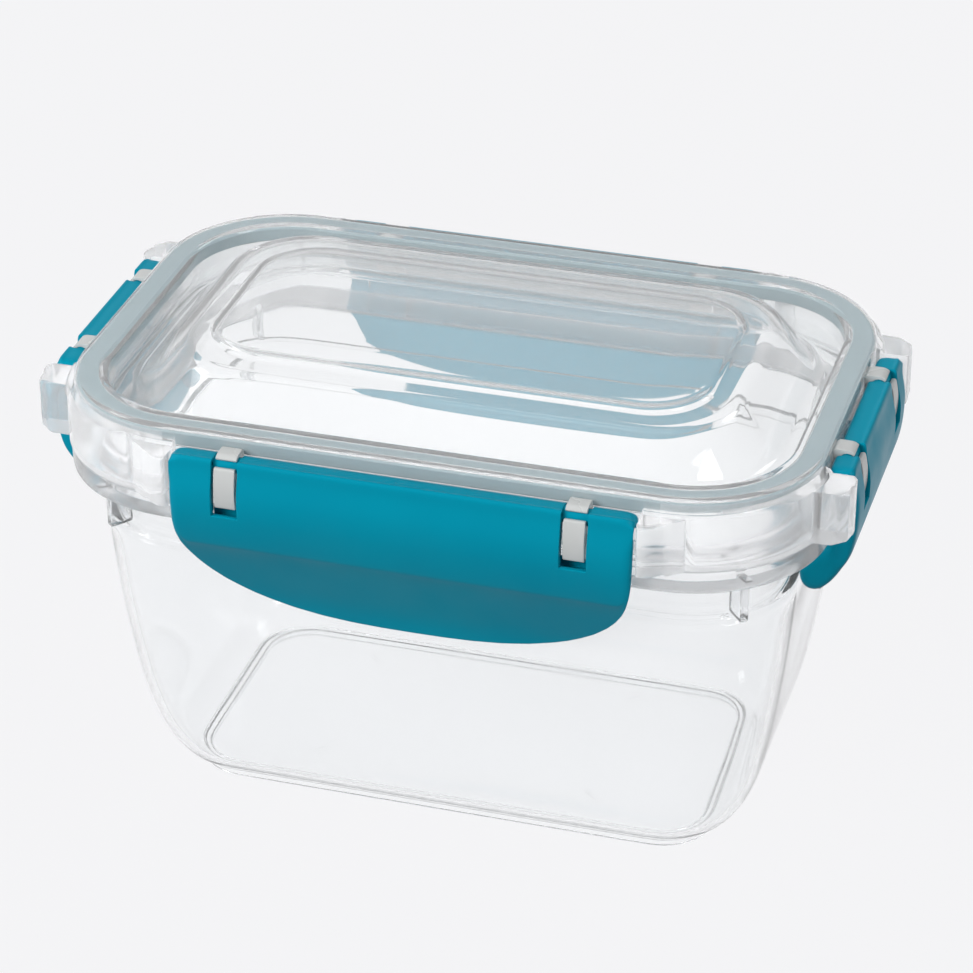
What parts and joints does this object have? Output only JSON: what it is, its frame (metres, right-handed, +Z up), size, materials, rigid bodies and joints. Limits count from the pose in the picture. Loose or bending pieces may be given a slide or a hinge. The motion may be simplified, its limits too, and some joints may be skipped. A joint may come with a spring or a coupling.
{
  "type": "food canister",
  "caption": "Rectangular clear food canister with a domed see-through lid, a grey silicone ring seal and hinged teal clips that lock under the tub's rim.",
  "frame": {"origin": "centre of the foot ring, on the table", "axes": "+X along the long side to the right, +Y to the back, +Z up; the front clip faces -Y"},
  "size_m": [0.2064, 0.1404, 0.124],
  "materials": {
    "tub": "clear moulded, polished",
    "lid": "clear moulded, slightly milky",
    "gasket": "matt grey-blue silicone",
    "clip": "satin teal moulding"
  },
  "bodies": {
    "tub_body": {"tub": "tub"},
    "lid_body": {"lid": "lid", "gasket": "gasket"},
    "front_clip_body": {"front_clip": "clip"},
    "back_clip_body": {"back_clip": "clip"},
    "left_clip_body": {"left_clip": "clip"},
    "right_clip_body": {"right_clip": "clip"}
  },
  "joints": [
    {"name": "lid_lift", "type": "slide", "parent": "tub_body", "child": "lid_body", "axis": [0, 0, 1], "range_m": [0, 0.27]},
    {"name": "front_clip_hinge", "type": "hinge", "parent": "lid_body", "child": "front_clip_body", "pos_m": [0, -0.0652, 0.1112], "axis": [-1, 0, 0], "range_deg": [0, 120]},
    {"name": "back_clip_hinge", "type": "hinge", "parent": "lid_body", "child": "back_clip_body", "pos_m": [0, 0.0652, 0.1112], "axis": [1, 0, 0], "range_deg": [0, 120]},
    {"name": "left_clip_hinge", "type": "hinge", "parent": "lid_body", "child": "left_clip_body", "pos_m": [-0.0983, 0, 0.1112], "axis": [0, 1, 0], "range_deg": [0, 120]},
    {"name": "right_clip_hinge", "type": "hinge", "parent": "lid_body", "child": "right_clip_body", "pos_m": [0.0983, 0, 0.1112], "axis": [0, -1, 0], "range_deg": [0, 120]}
  ]
}
